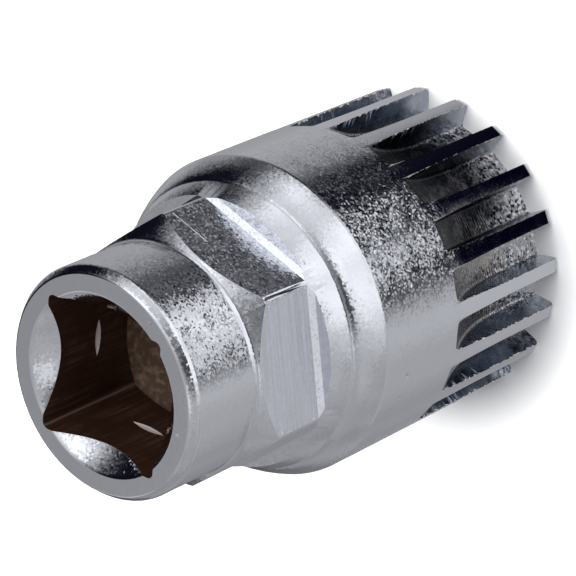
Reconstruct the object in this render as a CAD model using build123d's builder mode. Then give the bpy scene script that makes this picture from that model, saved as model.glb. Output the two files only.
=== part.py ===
from build123d import *
import math
import os

# Bottom bracket tool, one steel piece. It stands on its tooth end with the
# square drive up. Millimetres, +Z up, origin on the axis at the tooth end.

# Overall
tool_height = 46.0
body_radius = 15.0

# Spline fins, the milled slots between them and the milling disc's path
fin_count = 20
fin_half_angle = 2.4
fin_turn = 9.95
slot_depth = 2.5
slot_length = 15.45
slot_root_bevel = 0.3
disc_radius = 17.3
tip_round = 0.6

# Domed shoulder, and the short round boss with the wrench hex milled in it
shoulder_height = 3.7
shoulder_bulge = 0.25
boss_strip = 1.15
hex_width = 22.0
hex_length = 5.8
hex_turn = 12.16
hex_corner_trim = 0.1
hex_corner_fillet = 0.35

# Cone, neck and drive end
cone_height = 1.8
neck_length = 8.0
neck_wall = 1.87
face_chamfer_radial = 0.55
face_chamfer_height = 0.9

# Square drive with its countersunk mouth and detent groove
square_width = 12.94
square_corner = 0.9
square_depth = 12.0
mouth_width = 1.9
countersink_depth_ratio = 1.0
groove_depth = 0.25
groove_half_height = 0.35
groove_from_face = 6.6

# Hollow inside, open at the tooth end, with the walls left round it
spline_wall = 1.5
bore_depth = 22.0
bore_mouth_chamfer = 0.5
hex_wall = 1.7
drill_half_angle = 60.0

overrun = 1.0

# Radii: the bore follows the spline, the boss the hex, the neck the square
root_radius = body_radius - slot_depth
bore_radius = root_radius - spline_wall
boss_radius = hex_width / 2 / math.cos(math.radians(30)) - hex_corner_trim
inner_bore_radius = hex_width / 2 - hex_wall
square_reach = square_width / 2 * math.sqrt(2) - square_corner * (math.sqrt(2) - 1)
neck_radius = square_reach + neck_wall
face_radius = neck_radius - face_chamfer_radial
countersink_radius = square_width / 2 + mouth_width

# Heights, stacked down from the drive face: the plain cylinder takes the rest
neck_bottom = tool_height - neck_length
hex_top = neck_bottom - cone_height
hex_bottom = hex_top - hex_length
boss_bottom = hex_bottom - boss_strip
crease_height = boss_bottom - shoulder_height
inner_bore_depth = tool_height - square_depth
slope = math.tan(math.radians(90.0 - drill_half_angle))

# Slots: a disc that runs straight up to its axis height, then out on its own arc
slot_half_angle = 180.0 / fin_count - fin_half_angle
disc_axis_radius = root_radius + disc_radius
rise = math.sqrt(disc_radius**2 - (disc_radius - slot_depth)**2)
disc_axis_height = slot_length - rise
disc_arc = math.degrees(math.acos(1 - (slot_depth + overrun) / disc_radius))

# Turned outside shape: fins' tips, cylinder, domed shoulder, boss, cone, neck
with BuildPart() as tool:
    with BuildSketch(Plane.XZ):
        with BuildLine():
            tip_line = Line((0, 0), (body_radius - tip_round, 0))
            tip_arc = RadiusArc(tip_line @ 1, (body_radius, tip_round), -tip_round)
            side = Line(tip_arc @ 1, (body_radius, crease_height))
            rim = (boss_radius, boss_bottom)
            chord = Vector(rim[0] - body_radius, rim[1] - crease_height)
            middle = Vector(
                body_radius + chord.X / 2 + chord.Y / chord.length * shoulder_bulge,
                crease_height + chord.Y / 2 - chord.X / chord.length * shoulder_bulge,
            )
            dome = ThreePointArc(side @ 1, middle, rim)
            Polyline(
                dome @ 1,
                (boss_radius, hex_top),
                (neck_radius, neck_bottom),
                (neck_radius, tool_height - face_chamfer_height),
                (face_radius, tool_height),
                (0, tool_height),
                (0, 0),
            )
        make_face()
    revolve(axis=Axis.Z)

    # Hollow: a wide bore, then a narrower drilled one with a conical end
    with BuildSketch(Plane.XZ):
        with BuildLine():
            step_drop = (bore_radius - inner_bore_radius) * slope
            Polyline(
                (0, -overrun),
                (bore_radius + bore_mouth_chamfer + overrun, -overrun),
                (bore_radius, bore_mouth_chamfer),
                (bore_radius, bore_depth),
                (inner_bore_radius, bore_depth + step_drop),
                (inner_bore_radius, inner_bore_depth),
                (0, inner_bore_depth + inner_bore_radius * slope),
                (0, -overrun),
            )
        make_face()
    revolve(axis=Axis.Z, mode=Mode.SUBTRACT)

    # Hex flats, each a milled cut with a rounded inner corner at its far end
    with BuildPart(mode=Mode.PRIVATE) as flat_cut:
        cut_height = neck_bottom - hex_bottom + overrun
        with BuildSketch(Plane.XZ.offset(-boss_radius)):
            with Locations((hex_width / 2, hex_bottom)):
                Rectangle(boss_radius, cut_height, align=(Align.MIN, Align.MIN))
        extrude(amount=2 * boss_radius)
        inner_edge = flat_cut.edges().filter_by(Axis.Y).group_by(Axis.Z)[0].sort_by(Axis.X)[0]
        fillet(inner_edge, hex_corner_fillet)
    with PolarLocations(0, 6, start_angle=hex_turn):
        add(flat_cut.part, mode=Mode.SUBTRACT)

    # Square drive down into the drilled bore
    with BuildSketch(Plane.XY.offset(inner_bore_depth)):
        RectangleRounded(square_width, square_width, square_corner)
    extrude(amount=square_depth + overrun, mode=Mode.SUBTRACT)

    # Countersunk mouth
    mouth_depth = countersink_radius * countersink_depth_ratio
    with BuildSketch(Plane.XZ):
        with BuildLine():
            Polyline(
                (0, tool_height - mouth_depth),
                (countersink_radius, tool_height),
                (countersink_radius, tool_height + overrun),
                (0, tool_height + overrun),
                (0, tool_height - mouth_depth),
            )
        make_face()
    revolve(axis=Axis.Z, mode=Mode.SUBTRACT)

    # Detent groove, a V-shaped ring that shows as a slit in each flat
    with BuildSketch(Plane.XZ):
        with Locations((0, tool_height - groove_from_face)):
            groove_slope = groove_half_height / groove_depth
            groove_reach = square_width / 2 + groove_depth
            with BuildLine():
                Polyline(
                    (0, groove_reach * groove_slope),
                    (groove_reach, 0),
                    (0, -groove_reach * groove_slope),
                    (0, groove_reach * groove_slope),
                )
        make_face()
    revolve(axis=Axis.Z, mode=Mode.SUBTRACT)

    # One spline slot: straight from the tooth end, then up the disc's curve
    with BuildPart(mode=Mode.PRIVATE) as slot_cut:
        half = math.radians(slot_half_angle)
        outer_reach = body_radius + overrun
        with BuildSketch(Plane.XY.offset(disc_axis_height)) as slot_section:
            with BuildLine():
                floor_half = root_radius * math.tan(half)
                mouth_half = outer_reach * math.tan(half)
                Polyline(
                    (root_radius, floor_half),
                    (outer_reach, mouth_half),
                    (outer_reach, -mouth_half),
                    (root_radius, -floor_half),
                    (root_radius, floor_half),
                )
            make_face()
            floor_corners = slot_section.vertices().group_by(Axis.X)[0]
            chamfer(floor_corners, slot_root_bevel)
        extrude(amount=-(disc_axis_height + overrun))
        disc_axis = Axis((disc_axis_radius, 0, disc_axis_height), (0, 1, 0))
        revolve(slot_section.sketch, axis=disc_axis, revolution_arc=disc_arc)
    with PolarLocations(0, fin_count, start_angle=fin_turn + 180.0 / fin_count):
        add(slot_cut.part, mode=Mode.SUBTRACT)

tool.part.label = "bottom_bracket_tool"

os.makedirs("parts", exist_ok=True)
export_step(tool.part, "parts/bottom_bracket_tool.step")
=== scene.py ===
import math

import bmesh
import bpy
from mathutils import Matrix, Vector, noise as noiseAt


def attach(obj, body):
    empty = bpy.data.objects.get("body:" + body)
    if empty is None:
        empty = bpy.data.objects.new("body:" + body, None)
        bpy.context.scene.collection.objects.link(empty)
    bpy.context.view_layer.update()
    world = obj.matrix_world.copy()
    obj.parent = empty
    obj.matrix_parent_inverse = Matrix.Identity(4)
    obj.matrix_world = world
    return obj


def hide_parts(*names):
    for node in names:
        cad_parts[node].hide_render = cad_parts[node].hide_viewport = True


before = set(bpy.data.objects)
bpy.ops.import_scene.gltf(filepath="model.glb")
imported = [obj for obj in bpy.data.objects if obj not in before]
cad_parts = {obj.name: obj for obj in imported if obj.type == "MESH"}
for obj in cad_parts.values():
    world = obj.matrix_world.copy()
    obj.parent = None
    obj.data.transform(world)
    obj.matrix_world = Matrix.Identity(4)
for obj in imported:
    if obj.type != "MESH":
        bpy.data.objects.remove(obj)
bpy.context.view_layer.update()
mm = 0.001


# Small helpers for shader nodes
def addNode(tree, kind, inputs=(), **settings):
    made = tree.nodes.new(kind)
    for name, value in settings.items():
        setattr(made, name, value)
    for name, value in dict(inputs).items():
        if isinstance(value, bpy.types.NodeSocket):
            tree.links.new(value, made.inputs[name])
        else:
            made.inputs[name].default_value = value
    return made


def calc(tree, operation, a, b=0.0):
    return addNode(tree, "ShaderNodeMath", {0: a, 1: b}, operation=operation).outputs[0]


def times(tree, a, b):
    return calc(tree, "MULTIPLY", a, b)


def plus(tree, a, b):
    return calc(tree, "ADD", a, b)


def vectorCalc(tree, operation, a, b=(0.0, 0.0, 0.0), result="Vector"):
    return addNode(tree, "ShaderNodeVectorMath", {0: a, 1: b}, operation=operation).outputs[result]


def scaled(tree, vector, size):
    return addNode(tree, "ShaderNodeVectorMath", {0: vector, 3: size}, operation="SCALE").outputs[0]


def stretched(tree, where, scale):
    return addNode(tree, "ShaderNodeMapping", {0: where, 3: scale}).outputs[0]


def heightOf(tree, where):
    return addNode(tree, "ShaderNodeSeparateXYZ", {0: where}).outputs[2]


def ramp(tree, value, low, high, outLow=0.0, outHigh=1.0, smooth=True):
    kind = "SMOOTHSTEP" if smooth else "LINEAR"
    inputs = {0: value, 1: low, 2: high, 3: outLow, 4: outHigh}
    return addNode(tree, "ShaderNodeMapRange", inputs, interpolation_type=kind).outputs[0]


def mixColor(tree, factor, a, b):
    return addNode(tree, "ShaderNodeMix", {0: factor, 6: a, 7: b}, data_type="RGBA").outputs[2]


def noise(tree, where, scale, detail=2.0, rough=0.5):
    inputs = {"Vector": where, "Scale": scale, "Detail": detail, "Roughness": rough}
    return addNode(tree, "ShaderNodeTexNoise", inputs).outputs[0]


def newFinish(name, metal=0.0):
    finish = bpy.data.materials.new(name)
    finish.use_nodes = True
    tree = finish.node_tree
    shader = tree.nodes["Principled BSDF"]
    shader.inputs["Metallic"].default_value = metal
    where = addNode(tree, "ShaderNodeTexCoord").outputs["Object"]
    return finish, tree, shader, where


# Camera, where the photograph was taken from
cameraView = dict(
    place=(-0.15822, -0.12358, 0.22320),
    right=(-0.76225, -0.07527, -0.64288),
    up=(0.32984, -0.89976, -0.28573),
    back=(-0.55692, -0.42985, 0.71067),
    lens=196.15,
    sensor=36.0,
    nearest=0.01,
    farthest=20.0,
)


def placeCamera(s):
    camera = bpy.data.objects.new("camera", bpy.data.cameras.new("camera"))
    camera.data.lens = s["lens"]
    camera.data.sensor_width = s["sensor"]
    camera.data.clip_start = s["nearest"]
    camera.data.clip_end = s["farthest"]
    axes = Matrix((s["right"], s["up"], s["back"])).transposed()
    camera.matrix_world = Matrix.Translation(s["place"]) @ axes.to_4x4()
    bpy.context.scene.collection.objects.link(camera)
    bpy.context.scene.camera = camera


placeCamera(cameraView)
print("camera placed")


# Helpers for the finishes. Scales are cells per metre of the part, depths and places are millimetres.
def uneven(tree, where, s):
    low, high = [s["roughness"] * share for share in s["roughRange"]]
    return ramp(tree, noise(tree, where, s["roughScale"], s["roughDetail"]), 0.3, 0.7, low, high)


# Small facets, each tilted its own way: the cells' colours lie in a cube, 0.75 is its corner's distance squared
def facets(tree, where, s, tilt):
    cells = addNode(tree, "ShaderNodeTexVoronoi", {"Vector": where, "Scale": s["facetScale"]}).outputs["Color"]
    centred = vectorCalc(tree, "SUBTRACT", cells, (0.5, 0.5, 0.5))
    square = vectorCalc(tree, "DOT_PRODUCT", centred, centred, "Value")
    flattest, steepest = s["facetRange"]
    return scaled(tree, centred, times(tree, ramp(tree, square, 0.0, 0.75, flattest, steepest, smooth=False), tilt))


def tilted(tree, height, tilt):
    bump = addNode(tree, "ShaderNodeBump", {"Strength": 1.0, "Distance": 1.0, "Height": height}).outputs[0]
    return vectorCalc(tree, "NORMALIZE", vectorCalc(tree, "ADD", bump, tilt))


def near(tree, where, place, inner, outer):
    away = vectorCalc(tree, "DISTANCE", where, [c * mm for c in place], "Value")
    return ramp(tree, away, inner * mm, outer * mm, 1.0, 0.0)


# The plating, blasted above the fins and plain below: facets over soft unevenness, and a few nicks
grainLook = dict(
    color=(0.79, 0.80, 0.84, 1),
    roughness=0.115, roughScale=700, roughDetail=3.0, roughRange=(0.8, 1.3), plainRoughness=0.4,
    facetScale=5700, facetTilt=0.074, facetRange=(0.35, 2.0),
    grainScale=3600, grainDepth=0.005,
    waveScale=420, waveDepth=0.03,
    gradeFrom=12.5, gradeTo=16.5, gradeRange=(0.14, 1.0),
    nickDepth=0.10,
    nicks=[(-14.94, 1.29, 22.34, 0.30), (-13.46, -6.61, 21.2, 0.26), (-14.58, 3.5, 22.7, 0.22),
           (9.2, -11.9, 21.0, 0.25), (13.6, 6.4, 19.5, 0.30), (-2.0, 14.9, 23.1, 0.24)],
)
# The drive face and its mouth, where only the slopes are blasted
faceLook = dict(
    grainLook,
    color=(0.80, 0.81, 0.845, 1),
    roughness=0.10,
    facetScale=5200, facetTilt=0.11,
    grainScale=3400,
    waveDepth=0.02,
    gradeFrom=45.8, gradeTo=45.97, gradeRange=(1.0, 0.2),
    nickDepth=0.03,
    nicks=[(-8.9, 1.2, 46.0, 0.22), (-5.1, -7.9, 46.0, 0.16)],
)


def platedFinish(name, s):
    finish, tree, shader, where = newFinish(name, 1.0)
    shader.inputs["Base Color"].default_value = s["color"]
    grade = ramp(tree, heightOf(tree, where), s["gradeFrom"] * mm, s["gradeTo"] * mm, *s["gradeRange"])
    blasted = ramp(tree, grade, 0.0, 1.0, s["plainRoughness"], 1.0)
    tree.links.new(times(tree, uneven(tree, where, s), blasted), shader.inputs["Roughness"])
    grain = times(tree, noise(tree, where, s["grainScale"], 1.0), times(tree, grade, s["grainDepth"] * mm))
    wave = times(tree, noise(tree, where, s["waveScale"], 1.0), times(tree, grade, s["waveDepth"] * mm))
    relief = plus(tree, grain, wave)
    for *place, size in s["nicks"]:
        dent = times(tree, near(tree, where, place, 0.0, size), -s["nickDepth"] * mm)
        relief = plus(tree, relief, dent)
    tilt = facets(tree, where, s, times(tree, grade, s["facetTilt"]))
    tree.links.new(tilted(tree, relief, tilt), shader.inputs["Normal"])
    return finish


# The hex flats, milled across: fine lines at constant height over a coarse grain that is calm round one place,
# and one scratch
flatLook = dict(
    color=(0.84, 0.86, 0.915, 1),
    roughness=0.22, roughScale=1500, roughDetail=2.0, roughRange=(0.75, 1.3),
    facetScale=5200, facetTilt=0.26, facetRange=(1.0, 1.0),
    calmAt=(-11.0, -2.3, 33.5), calmInner=5.2, calmOuter=6.5, calmTilt=0.3, calmRoughness=1.75,
    grainScale=2600, grainDepth=0.02,
    lineScale=4200, lineDepth=0.008, lineStretch=0.02, lineRange=(0.35, 0.65), lineShade=0.90,
    scratchAt=(0.3, -11.6, 35.3), scratchInner=1.84, scratchOuter=2.3, scratchWidth=0.07, scratchRise=0.06,
    scratchColor=(1.0, 1.0, 1.0, 1),
)


def milledFinish(name, s):
    finish, tree, shader, where = newFinish(name, 1.0)
    calm = near(tree, where, s["calmAt"], s["calmInner"], s["calmOuter"])
    rough = times(tree, uneven(tree, where, s), ramp(tree, calm, 0.0, 1.0, 1.0, s["calmRoughness"]))
    tree.links.new(rough, shader.inputs["Roughness"])
    line = noise(tree, stretched(tree, where, (s["lineStretch"], s["lineStretch"], 1.0)), s["lineScale"], 2.0)
    lines = times(tree, line, s["lineDepth"] * mm)
    grain = times(tree, noise(tree, where, s["grainScale"], 1.0), s["grainDepth"] * mm)
    off = calc(tree, "ABSOLUTE", calc(tree, "SUBTRACT", heightOf(tree, where), s["scratchAt"][2] * mm))
    thin = ramp(tree, off, 0.0, s["scratchWidth"] * mm, 1.0, 0.0)
    scratch = times(tree, thin, near(tree, where, s["scratchAt"], s["scratchInner"], s["scratchOuter"]))
    relief = plus(tree, plus(tree, lines, grain), times(tree, scratch, s["scratchRise"] * mm))
    tilt = times(tree, ramp(tree, calm, 0.0, 1.0, 1.0, s["calmTilt"]), s["facetTilt"])
    tree.links.new(tilted(tree, relief, facets(tree, where, s, tilt)), shader.inputs["Normal"])
    lined = scaled(tree, s["color"][:3], ramp(tree, line, *s["lineRange"], s["lineShade"], 1.0))
    tree.links.new(mixColor(tree, scratch, lined, s["scratchColor"]), shader.inputs["Base Color"])
    return finish


# The slots' floors: darker steel with the disc's ridges, blasted near the tooth end, and painted shade on one side
floorLook = dict(
    lowColor=(0.50, 0.51, 0.54, 1), highColor=(0.45, 0.41, 0.385, 1), highFrom=2.5, highTo=9.0, highShare=0.7,
    mottleScale=520, mottleRange=(0.4, 0.6), mottleShare=0.3,
    roughness=0.17, roughScale=1500, roughDetail=2.0, roughRange=(0.75, 1.4),
    facetScale=3900, facetTilt=0.50, facetRange=(1.0, 1.0), facetFade=0.35,
    ridgeGap=0.36, ridgeDepth=0.016, ridgeLow=0.1, shakeScale=900, shake=1.5,
    # Painted shade on one side of the slots: its near-black colour, centre, reach, squash, heights and thinning
    paintedShadeColor=(0.020, 0.022, 0.030, 1), paintedShadeAt=(-8.4, -12.0, 6.2), paintedShadeInner=5.6, paintedShadeOuter=8.6, paintedShadeSquash=0.6,
    paintedShadeFrom=-1.0, paintedShadeTo=6.0, paintedShadeRange=(0.32, 0.5), paintedShadeThin=0.75,
)
# Their flanks, smoother and bluer, without ridges, with painted light and shade: light grey at the tooth end and
# dark blue higher up
flankLook = dict(
    floorLook,
    # Painted light and shade: the flanks go from light grey at the tooth end to dark blue above 4.5 mm
    lowColor=(0.58, 0.61, 0.68, 1), highColor=(0.20, 0.235, 0.30, 1), highFrom=0.5, highTo=4.5,
    roughness=0.20,
    facetScale=3600, facetTilt=0.10,
    ridgeDepth=0.0,
    # The painted shade on that side of the flanks is a dark blue
    paintedShadeColor=(0.05, 0.06, 0.085, 1),
)


def slotFinish(name, s):
    finish, tree, shader, where = newFinish(name, 1.0)
    height = heightOf(tree, where)
    mottle = noise(tree, where, s["mottleScale"], 4.0, 0.65)
    up = ramp(tree, height, s["highFrom"] * mm, s["highTo"] * mm)
    spots = ramp(tree, mottle, *s["mottleRange"], 0.0, s["mottleShare"])
    steel = mixColor(tree, plus(tree, times(tree, up, s["highShare"]), spots), s["lowColor"], s["highColor"])
    # Painted shade: one side of the slots is darkened toward a near-black colour round a point low on the tool,
    # weaker toward the tooth end and a little thinner where the mottle is low
    squashed = stretched(tree, where, (1.0, 1.0, s["paintedShadeSquash"]))
    paintedSideShade = times(tree, near(tree, squashed, s["paintedShadeAt"], s["paintedShadeInner"], s["paintedShadeOuter"]),
                  ramp(tree, height, s["paintedShadeFrom"] * mm, s["paintedShadeTo"] * mm))
    paintedSideShade = times(tree, paintedSideShade, ramp(tree, mottle, *s["paintedShadeRange"], s["paintedShadeThin"], 1.0))
    tree.links.new(mixColor(tree, paintedSideShade, steel, s["paintedShadeColor"]), shader.inputs["Base Color"])
    tree.links.new(uneven(tree, where, s), shader.inputs["Roughness"])
    shake = times(tree, noise(tree, where, s["shakeScale"], 2.0), s["shake"] * s["ridgeGap"] * mm)
    phase = times(tree, plus(tree, height, shake), math.tau / (s["ridgeGap"] * mm))
    waves = times(tree, calc(tree, "SINE", phase), ramp(tree, up, 0.0, 1.0, s["ridgeLow"], 1.0))
    ridges = times(tree, waves, s["ridgeDepth"] * mm * 0.5)
    tilt = times(tree, ramp(tree, up, 0.0, 1.0, 1.0, s["facetFade"]), s["facetTilt"])
    tree.links.new(tilted(tree, ridges, facets(tree, where, s, tilt)), shader.inputs["Normal"])
    return finish


# Inside: the broach leaves lines along the square's walls, one corner has a painted highlight down its rounding,
# and the drill leaves a mottled bore
squareLook = dict(
    dark=(0.060, 0.024, 0.014, 1), light=(0.125, 0.072, 0.05, 1), metal=0.55, roughness=0.36,
    lineScale=5200, lineDepth=0.03, along=(1.0, 1.0, 0.025), lineRange=(0.42, 0.66),
    stainScale=300, stainRange=(0.35, 0.65),
    # A painted highlight: a light line down the middle of one corner's rounding
    corner=dict(place=(6.294, 6.294, 0.0), inner=0.05, outer=0.16, share=0.9, color=(0.22, 0.155, 0.115, 1)),
)
boreLook = dict(
    squareLook,
    dark=(0.36, 0.25, 0.18, 1), light=(0.80, 0.64, 0.50, 1), metal=0.5, roughness=0.45,
    lineScale=1500, lineDepth=0.05, along=(1.0, 1.0, 1.0),
    corner=None,
)
grooveLook = dict(
    boreLook,
    dark=(0.86, 0.76, 0.73, 1), light=(0.95, 0.88, 0.86, 1), metal=0.6, roughness=0.40,
    lineDepth=0.01,
)


def innerFinish(name, s):
    finish, tree, shader, where = newFinish(name, s["metal"])
    shader.inputs["Roughness"].default_value = s["roughness"]
    lines = noise(tree, stretched(tree, where, s["along"]), s["lineScale"], 2.5, 0.6)
    stain = ramp(tree, noise(tree, where, s["stainScale"], 4.0, 0.6), *s["stainRange"])
    walls = mixColor(tree, times(tree, ramp(tree, lines, *s["lineRange"]), stain), s["dark"], s["light"])
    # Painted highlight along one corner of the square
    if s["corner"]:
        line = s["corner"]
        flat = stretched(tree, where, (1.0, 1.0, 0.0))
        share = times(tree, near(tree, flat, line["place"], line["inner"], line["outer"]), line["share"])
        walls = mixColor(tree, share, walls, line["color"])
    tree.links.new(walls, shader.inputs["Base Color"])
    bump = addNode(tree, "ShaderNodeBump", {"Strength": 1.0, "Distance": s["lineDepth"] * mm, "Height": lines})
    tree.links.new(bump.outputs[0], shader.inputs["Normal"])
    return finish


finishes = [
    platedFinish("platedGrain", grainLook),
    platedFinish("platedFace", faceLook),
    milledFinish("milledFlat", flatLook),
    slotFinish("slotFloor", floorLook),
    innerFinish("broachedSquare", squareLook),
    innerFinish("drilledBore", boreLook),
    slotFinish("slotFlank", flankLook),
    innerFinish("detentGroove", grooveLook),
]
onGrain, onFace, onFlat, onFloor, inSquare, inBore, onFlank, inGroove = range(len(finishes))
print("finishes made")


# Small helpers for meshes
hair = 1e-6  # metres, for picking out what lies at one height or radius


def meshObject(name, bm, finish=None):
    mesh = bpy.data.meshes.new(name)
    bm.to_mesh(mesh)
    bm.free()
    for each in [finish] if finish else finishes:
        mesh.materials.append(each)
    made = bpy.data.objects.new(name, mesh)
    bpy.context.scene.collection.objects.link(made)
    return made


def openEdges(bm):
    return sum(len(edge.link_faces) != 2 for edge in bm.edges)


def bevel(bm, geom, size, segments, affect="VERTICES", clamp=False):
    return bmesh.ops.bevel(bm, geom=geom, offset=size * mm, offset_type="OFFSET", segments=segments,
                           profile=0.5, affect=affect, material=-1, clamp_overlap=clamp)


def extrudeBy(bm, faces, rise):
    grown = bmesh.ops.extrude_face_region(bm, geom=faces)["geom"]
    moved = [g for g in grown if isinstance(g, bmesh.types.BMVert)]
    bmesh.ops.translate(bm, verts=moved, vec=(0, 0, rise * mm))


def turn(bm, verts, angle):
    bmesh.ops.rotate(bm, verts=verts, cent=(0, 0, 0), matrix=Matrix.Rotation(angle, 3, "Z"))


# Half a turned section, from its corners' radii and heights, and the body that it sweeps
def drawSection(points):
    bm = bmesh.new()
    ring = [bm.verts.new((r * mm, 0, z * mm)) for r, z in points]
    for a, b in zip(ring, ring[1:] + ring[:1]):
        bm.edges.new((a, b))
    return bm, ring


def sweep(bm, steps):
    bmesh.ops.spin(bm, geom=bm.verts[:] + bm.edges[:], cent=(0, 0, 0), axis=(0, 0, 1),
                   angle=math.tau, steps=steps, use_merge=True)


# The turned blank: corners of half its section as radius, height, rounding, segments,
# and the heights and slopes that tell its finishes apart
blank = dict(
    corners=[
        (1.103, 38.73, 0, 1),
        (8.37, 46.0, 0.10, 3),
        (9.1, 46.0, 0, 1),
        (10.05, 46.0, 0.10, 3),
        (10.65, 45.2, 0.22, 5),
        (10.65, 38.0, 0.30, 4),
        (12.6, 36.2, 0.15, 3),
        (12.6, 30.45, 0, 1),
        (13.4, 28.48, 0.12, 3),
        (14.22, 27.67, 2.10, 12),
        (15.0, 25.55, 0.18, 4),
        (15.0, 16.2, 0, 1),
        (15.0, 0.0, 0.6, 6),
        (11.5, 0.0, 0.12, 3),
        (11.0, 0.5, 0.12, 3),
        (11.0, 22.0, 0.2, 3),
        (9.3, 22.98, 0.1, 2),
        (9.3, 34.0, 0.2, 3),
    ],
    steps=360,
    weld=0.0001,
    faceLow=45.0,
    mouthLow=36.0,
    mouthSlope=-0.3,
    endSlope=-0.9,
    boreSlope=-0.1,
)


def turnBlank(s):
    bm, ring = drawSection([corner[:2] for corner in s["corners"]])
    for vert, (*place, rounding, segments) in zip(ring, s["corners"]):
        if rounding:
            bevel(bm, [vert], rounding, segments)
    sweep(bm, s["steps"])
    bmesh.ops.remove_doubles(bm, verts=bm.verts, dist=s["weld"] * mm)
    bmesh.ops.recalc_face_normals(bm, faces=bm.faces)
    for face in bm.faces:
        middle = face.calc_center_median()
        outward = face.normal.xy.dot(middle.xy.normalized())
        inMouth = middle.z > s["mouthLow"] * mm and outward < s["mouthSlope"] and face.normal.z > 0
        if middle.z > s["faceLow"] * mm or inMouth:
            face.material_index = onFace
        elif face.normal.z < s["endSlope"]:
            face.material_index = onFloor
        elif outward < s["boreSlope"]:
            face.material_index = inBore
    return bm


# The spline's slots: a disc cutter's section, run straight up and then out on the disc's arc
slotCut = dict(count=20, firstFin=9.95, halfAngle=6.6, rootRadius=12.5, outerRadius=16.0, rootRound=0.3,
               rootSegments=4, discRadius=17.3, axisHeight=6.492, below=1.0, arc=37.1, arcSteps=20,
               flankSlope=0.9)


def slotCutter(s):
    bm = bmesh.new()
    slope = math.tan(math.radians(s["halfAngle"]))
    corners = [(s["rootRadius"], side * s["rootRadius"] * slope) for side in (-1, 1)]
    corners += [(s["outerRadius"], side * s["outerRadius"] * slope) for side in (1, -1)]
    axisHeight = s["axisHeight"] * mm
    bm.faces.new([bm.verts.new((x * mm, y * mm, axisHeight)) for x, y in corners])
    bm.verts.ensure_lookup_table()
    bevel(bm, bm.verts[:2], s["rootRound"], s["rootSegments"])
    extrudeBy(bm, bm.faces[:], -(s["axisHeight"] + s["below"]))
    top = [f for f in bm.faces if all(abs(v.co.z - axisHeight) < hair for v in f.verts)]
    axisPlace = ((s["rootRadius"] + s["discRadius"]) * mm, 0, axisHeight)
    bmesh.ops.spin(bm, geom=top, cent=axisPlace, axis=(0, 1, 0), angle=math.radians(s["arc"]), steps=s["arcSteps"])
    bmesh.ops.delete(bm, geom=top, context="FACES_ONLY")
    bmesh.ops.recalc_face_normals(bm, faces=bm.faces)
    for face in bm.faces:
        face.material_index = onFlank if abs(face.normal.y) > s["flankSlope"] else onFloor
    one = bm.verts[:] + bm.edges[:] + bm.faces[:]
    for index in range(1, s["count"]):
        copied = bmesh.ops.duplicate(bm, geom=one)["geom"]
        turn(bm, [g for g in copied if isinstance(g, bmesh.types.BMVert)], math.tau * index / s["count"])
    turn(bm, bm.verts, math.radians(s["firstFin"] + 180.0 / s["count"]))
    print("slot cutter open edges", openEdges(bm))
    return meshObject("slotCutter", bm)


# The wrench hex: a ring with a hexagonal hole, which leaves a sloped strip where the flats end
hexCut = dict(across=22.0, turn=12.16, low=30.4, high=39.0, outer=17.0, strip=0.46, ledgeSlope=0.1)


def hexCutter(s):
    bm = bmesh.new()
    reach = s["across"] / math.sqrt(3) * mm
    bmesh.ops.create_circle(bm, segments=6, radius=reach)
    bmesh.ops.create_circle(bm, segments=6, radius=s["outer"] * mm)
    bmesh.ops.bridge_loops(bm, edges=bm.edges[:])
    extrudeBy(bm, bm.faces[:], s["high"] - s["low"])
    bmesh.ops.recalc_face_normals(bm, faces=bm.faces)
    rim = [e for e in bm.edges
           if all(abs(v.co.z) < hair and abs(v.co.xy.length - reach) < hair for v in e.verts)]
    bevel(bm, rim, s["strip"], 1, "EDGES")
    for face in bm.faces:
        face.material_index = onGrain if abs(face.normal.z) > s["ledgeSlope"] else onFlat
    turn(bm, bm.verts, math.radians(s["turn"]))
    bmesh.ops.translate(bm, verts=bm.verts, vec=(0, 0, s["low"] * mm))
    print("hex cutter open edges", openEdges(bm))
    return meshObject("hexCutter", bm)


# The square drive, broached down into the drilled bore, with its detent groove
squareCut = dict(across=12.94, cornerRound=0.6, cornerSegments=8, low=34.0, high=48.0,
                 groove=0.25, grooveHalf=0.35, grooveAt=39.4, grooveBack=1.5, grooveSteps=180)


def squareCutter(s):
    bm = bmesh.new()
    half = s["across"] / 2 * mm
    corners = ((1, 1), (-1, 1), (-1, -1), (1, -1))
    bm.faces.new([bm.verts.new((x * half, y * half, s["low"] * mm)) for x, y in corners])
    bevel(bm, bm.verts[:], s["cornerRound"], s["cornerSegments"])
    extrudeBy(bm, bm.faces[:], s["high"] - s["low"])
    bmesh.ops.recalc_face_normals(bm, faces=bm.faces)
    return meshObject("squareCutter", bm, finishes[inSquare])


def grooveCutter(s):
    reach = s["across"] / 2 + s["groove"]
    inner = reach - s["grooveBack"]
    rise = s["grooveHalf"] / s["groove"] * s["grooveBack"]
    middle = s["grooveAt"]
    bm = drawSection([(reach, middle), (inner, middle + rise), (inner, middle - rise)])[0]
    sweep(bm, s["grooveSteps"])
    bmesh.ops.recalc_face_normals(bm, faces=bm.faces)
    return meshObject("grooveCutter", bm, finishes[inGroove])


def carve(piece, cutter):
    cut = piece.modifiers.new("cut", "BOOLEAN")
    cut.operation, cut.solver, cut.material_mode, cut.object = "DIFFERENCE", "EXACT", "TRANSFER", cutter
    shaped = bpy.data.meshes.new_from_object(piece.evaluated_get(bpy.context.evaluated_depsgraph_get()))
    piece.modifiers.clear()
    piece.data = shaped
    bpy.data.objects.remove(cutter)


tool = meshObject("bottomBracketTool", turnBlank(blank))
print("blank turned", len(tool.data.polygons))
for name, cutter in (("square", squareCutter(squareCut)), ("groove", grooveCutter(squareCut)),
                     ("hex", hexCutter(hexCut)), ("slots", slotCutter(slotCut))):
    carve(tool, cutter)
    print("cut", name, len(tool.data.polygons))


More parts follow.
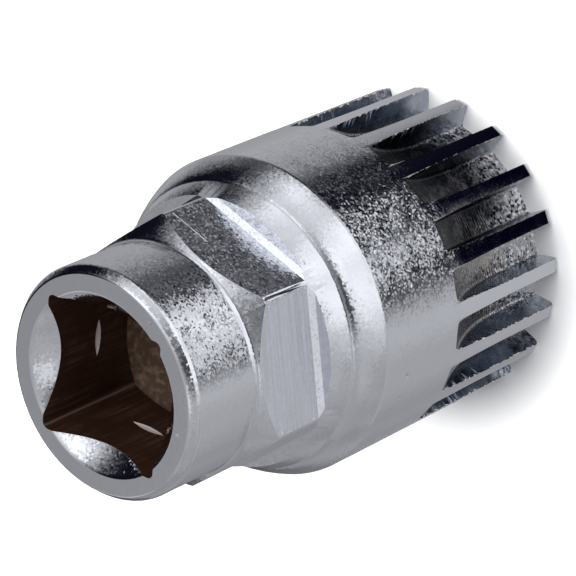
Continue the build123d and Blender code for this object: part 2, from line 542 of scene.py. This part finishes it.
# Edges left by the cutters: rounded as the plating leaves them, and torn along the fins and at the top of one hex
# corner. The tears' faces take the pale finish of the groove or the dark one of the flanks at random, as painted
# glints and painted shade.
edges = dict(
    weld=0.002,
    sharpAngle=24.0, rounding=0.12, segments=2,
    creaseAngle=34.0, sameAngle=3.0, uprightSlope=0.9, levelSlope=0.999, wideArea=1.0,
    finRadius=14.8, finLow=0.5, finTop=14.9, finDepth=0.36, flankSlope=0.7, runOut=15.45, runOutReach=0.3,
    hexRadius=12.3, hexLow=31.0, hexHigh=37.4, hexCorner=-137.84, hexWidth=1.2, hexDepth=0.80, hexSwell=0.1,
    tearStep=0.25, tearScale=2600, paintFrom=0.03, paintShift=(7, 3, 5),
)


def mayTear(vert, s):
    radius, height = vert.co.xy.length / mm, vert.co.z / mm
    azimuth = math.degrees(math.atan2(vert.co.y, vert.co.x))
    onFin = radius > s["finRadius"] and s["finLow"] < height < s["finTop"]
    onHex = radius > s["hexRadius"] and s["hexLow"] < height < s["hexHigh"]
    return onFin or (onHex and abs(azimuth - s["hexCorner"]) < s["hexWidth"])


def upright(edge, s):
    return abs((edge.verts[0].co - edge.verts[1].co).normalized().z) > s["uprightSlope"]


def atRunOut(edge, s):
    return not upright(edge, s) and all(
        v.co.xy.length > s["finRadius"] * mm and abs(v.co.z / mm - s["runOut"]) < s["runOutReach"]
        for v in edge.verts)


def isSharp(edge, s):
    return (len(edge.link_faces) == 2 and edge.is_convex and not atRunOut(edge, s)
            and math.degrees(edge.calc_face_angle(0)) > s["sharpAngle"])


# Level faces and the flats' wide ones keep their own shading, apart from the rounded edges beside them
def isLevel(face, s):
    wide = len(face.verts) > 4 and face.calc_area() > s["wideArea"] * mm * mm
    return abs(face.normal.z) > s["levelSlope"] or (wide and face.material_index in (onGrain, onFlat))


# A torn edge's vertices slide inward within the widest face beside them, so that stays flat
def tear(vert, fresh, s):
    onFin = vert.co.xy.length > s["finRadius"] * mm
    push = noiseAt.noise(vert.co * s["tearScale"]) * (s["finDepth"] if onFin else s["hexDepth"]) * mm
    beside = [f for f in vert.link_faces if f not in fresh]
    if not beside:
        vert.co += vert.normal * min(push, 0.0 if onFin else s["hexSwell"] * mm)
        return
    widest = max(beside, key=lambda face: face.calc_area())
    if onFin and abs(widest.normal.xy.dot(vert.co.xy.normalized())) > s["flankSlope"]:
        return
    slide = widest.normal.cross(Vector((0, 0, 1))).normalized()
    if slide.xy.dot(vert.co.xy) > 0:
        slide = -slide
    vert.co += slide * abs(push)


def softenEdges(piece, s):
    bm = bmesh.new()
    bm.from_mesh(piece.data)
    bmesh.ops.remove_doubles(bm, verts=bm.verts, dist=s["weld"] * mm)
    bmesh.ops.dissolve_degenerate(bm, edges=bm.edges, dist=s["weld"] * mm)
    sharp = dict.fromkeys(e for e in bm.edges if isSharp(e, s))
    print("sharp edges", len(sharp), "open", openEdges(bm))
    for edge in list(sharp):
        cuts = int(edge.calc_length() / mm / s["tearStep"])
        if cuts and upright(edge, s) and all(mayTear(v, s) for v in edge.verts):
            split = bmesh.ops.bisect_edges(bm, edges=[edge], cuts=cuts)["geom_split"]
            sharp.update(dict.fromkeys(g for g in split if isinstance(g, bmesh.types.BMEdge)))
    fresh = set(bevel(bm, list(sharp), s["rounding"], s["segments"], "EDGES", clamp=True)["faces"])
    for vert in {v for f in fresh for v in f.verts}:
        if mayTear(vert, s):
            tear(vert, fresh, s)
    # Painted glints and shade: noise colours the torn faces pale or dark
    for face in fresh:
        paintedGlintAndShade = noiseAt.noise(face.calc_center_median() * s["tearScale"] + Vector(s["paintShift"]))
        if abs(paintedGlintAndShade) >= s["paintFrom"] and all(mayTear(v, s) for v in face.verts):
            face.material_index = inGroove if paintedGlintAndShade > 0 else onFlank
    for face in bm.faces:
        face.smooth = True
    for edge in bm.edges:
        if len(edge.link_faces) == 2:
            angle = math.degrees(edge.calc_face_angle(0))
            alike = isLevel(edge.link_faces[0], s) == isLevel(edge.link_faces[1], s)
            gentle = angle < s["creaseAngle"] and (alike or angle < s["sameAngle"])
            edge.smooth = gentle and not atRunOut(edge, s)
    print("after rounding: faces", len(bm.faces), "open", openEdges(bm))
    bm.to_mesh(piece.data)
    bm.free()
    piece.modifiers.new("evenShading", "WEIGHTED_NORMAL").keep_sharp = True


softenEdges(tool, edges)
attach(tool, "root")
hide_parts("bottom_bracket_tool")
print("tool made", sum(len(p.vertices) - 2 for p in tool.data.polygons), "triangles")

# The floor, which glows far out so that a low view has no horizon
studio = dict(floorColor=(0.93, 0.93, 0.935, 1), floorSize=3.0, floorRoughness=0.9, glowFrom=0.12, glowTo=0.7)


def layFloor(s):
    bm = bmesh.new()
    bmesh.ops.create_grid(bm, x_segments=1, y_segments=1, size=s["floorSize"])
    finish, tree, shader, where = newFinish("paleFloor")
    shader.inputs["Base Color"].default_value = s["floorColor"]
    shader.inputs["Roughness"].default_value = s["floorRoughness"]
    shader.inputs["Emission Color"].default_value = s["floorColor"]
    away = vectorCalc(tree, "LENGTH", where, result="Value")
    tree.links.new(ramp(tree, away, s["glowFrom"], s["glowTo"]), shader.inputs["Emission Strength"])
    floor = meshObject("floor", bm, finish)
    floor.visible_glossy = False  # the plating mirrors the painted studio, not the floor


# The studio that the plating mirrors, brighter on one side: soft boxes and flags, painted one over the other,
# as azimuth, elevation, turn, half width, half height, softness of the border, level
room = dict(
    level=0.433,
    side=(-124, 0.113),
    tint=(0.985, 1.0, 1.035),
    patches=[
        (-121, -11, 25, 52, 41, 0.40, 1.10),
        (-82, 36, -13, 33, 32, 0.32, 0.77),
        (-143, 36, 11, 27, 10, 0.52, 0.23),
        (-28, 3, -5, 34, 23, 0.59, 0.005),
        (13, 11, 44, 64, 20, 0.32, 0.005),
        (-129, -53, -4, 34, 4, 0.32, 0.001),
        (-98, -54, -5, 25, 8, 0.32, 0.001),
        (-74, -30, 6, 28, 15, 0.68, 0.023),
        (48, 29, 0, 18, 7, 0.42, 0.60),
        (-135, -62, -1, 11, 9, 0.35, 0.004),
        (-157, 27, 0, 19, 7, 0.45, 0.06),
        (-79, 41, 1, 13, 10, 0.50, 1.25),
        (168, 43, 0, 8, 9, 0.60, 0.80),
    ],
    patchTint=(0.985, 1.0, 1.03),
    patchBlue=0.006,
    cornerPower=4.0,
    driftScale=2.2,
    drift=0.30,
    backdrop=(0.93, 0.93, 0.94, 1),
)


def lightRoom(s):
    world = bpy.data.worlds.new("studio")
    bpy.context.scene.world = world
    world.use_nodes = True
    tree = world.node_tree
    way = addNode(tree, "ShaderNodeTexCoord").outputs["Generated"]
    azimuth, rise = s["side"]
    sideWay = (math.cos(math.radians(azimuth)), math.sin(math.radians(azimuth)), 0)
    toSide = vectorCalc(tree, "DOT_PRODUCT", way, sideWay, "Value")
    light = scaled(tree, s["tint"], plus(tree, times(tree, toSide, rise), s["level"]))
    for azimuth, elevation, roll, wide, high, soft, value in s["patches"]:
        toward = (Matrix.Rotation(math.radians(roll), 3, "X") @ Matrix.Rotation(math.radians(elevation), 3, "Y")
                  @ Matrix.Rotation(math.radians(-azimuth), 3, "Z"))
        ahead, aside, above = [vectorCalc(tree, "DOT_PRODUCT", way, row, "Value") for row in toward]
        across = calc(tree, "DIVIDE", calc(tree, "ARCTAN2", aside, ahead), math.radians(wide))
        over = calc(tree, "DIVIDE", calc(tree, "ARCSINE", above), math.radians(high))
        powers = [calc(tree, "POWER", calc(tree, "ABSOLUTE", a), s["cornerPower"]) for a in (across, over)]
        away = calc(tree, "POWER", plus(tree, *powers), 1 / s["cornerPower"])
        red, green, blue = [share * value for share in s["patchTint"]]
        light = mixColor(tree, ramp(tree, away, 1 - soft, 1 + soft, 1.0, 0.0), light,
                         (red, green, blue + s["patchBlue"], 1))
    wander = noise(tree, way, s["driftScale"], 3.0)
    light = scaled(tree, light, ramp(tree, wander, 0.2, 0.8, 1 - s["drift"], 1 + s["drift"], smooth=False))
    seen = addNode(tree, "ShaderNodeLightPath").outputs["Is Camera Ray"]
    tree.links.new(mixColor(tree, seen, light, s["backdrop"]), tree.nodes["Background"].inputs["Color"])


# Two soft lamps for the floor, aimed at the origin. The plating doesn't mirror them.
lamps = [
    dict(name="softBox", place=(-0.220, -0.604, 0.766), size=0.8, power=4.2),
    dict(name="overhead", place=(0.090, -0.076, 0.993), size=0.26, power=9.0),
]


def addLamp(s):
    lamp = bpy.data.objects.new(s["name"], bpy.data.lights.new(s["name"], "AREA"))
    lamp.data.shape = "DISK"
    lamp.data.size = s["size"]
    lamp.data.energy = s["power"]
    lamp.location = s["place"]
    lamp.rotation_euler = (-Vector(s["place"])).to_track_quat("-Z", "Y").to_euler()
    lamp.visible_glossy = False
    lamp.visible_camera = False
    bpy.context.scene.collection.objects.link(lamp)


layFloor(studio)
lightRoom(room)
for lampSettings in lamps:
    addLamp(lampSettings)
bpy.context.scene.view_settings.view_transform = "Standard"
print("studio lit")
